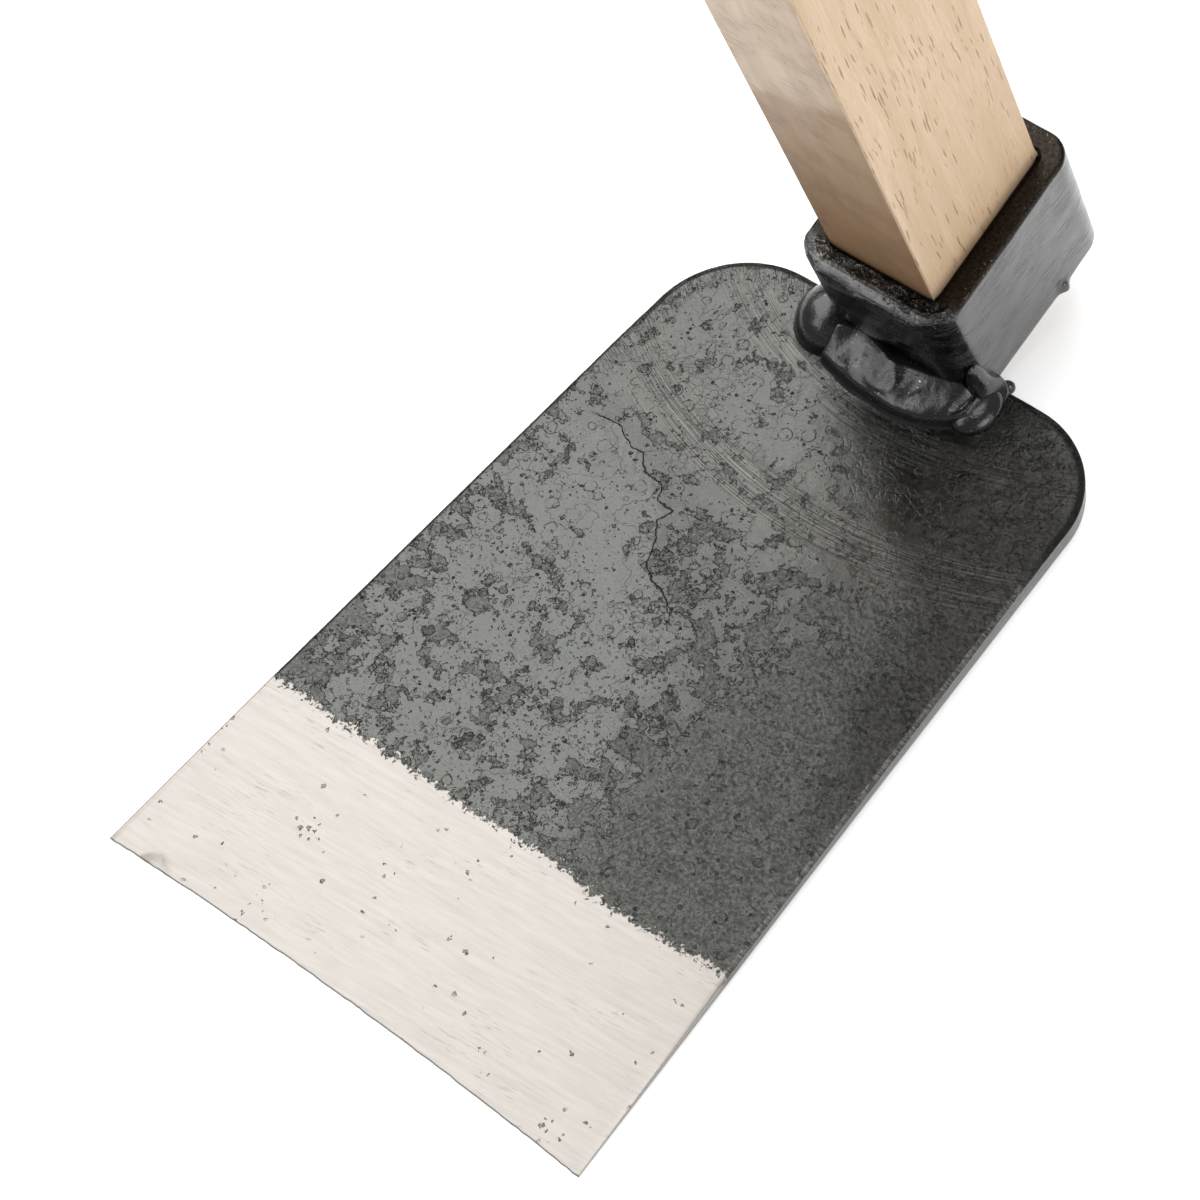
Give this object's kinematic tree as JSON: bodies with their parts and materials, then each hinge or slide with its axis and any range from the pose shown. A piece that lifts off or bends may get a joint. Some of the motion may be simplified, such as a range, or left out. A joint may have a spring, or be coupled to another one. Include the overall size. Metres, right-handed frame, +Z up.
{
  "type": "draw hoe",
  "caption": "Draw hoe with a flat forged blade, ground cutting edge, square welded eye and a wedged hardwood handle that is rectangular at the head and round at the grip.",
  "frame": {"origin": "on the floor, in the middle of the hoe's overall length and width", "axes": "+Z up; the blade lies along -Y with its back on the floor; the handle rises from the eye and leans towards -Y; X runs across the blade"},
  "size_m": [0.15, 0.3636, 1.1965],
  "materials": {
    "forge_scale": "dark forge scale over steel, ground bright along the cutting edge",
    "black_eye": "black satin finish on heavy steel strap",
    "black_weld": "black finish over weld metal, partly ground",
    "beech": "plain sanded beech, unvarnished",
    "wedge_wood": "sawn hardwood end"
  },
  "bodies": {
    "root": {"blade": "forge_scale", "eye_ring": "black_eye", "eye_seam": "black_weld", "handle": "beech", "wedge": "wedge_wood", "neck_weld_root": "black_weld", "neck_weld_cap": "black_weld", "side_bead_left": "black_weld", "side_bead_right": "black_weld"}
  },
  "joints": []
}
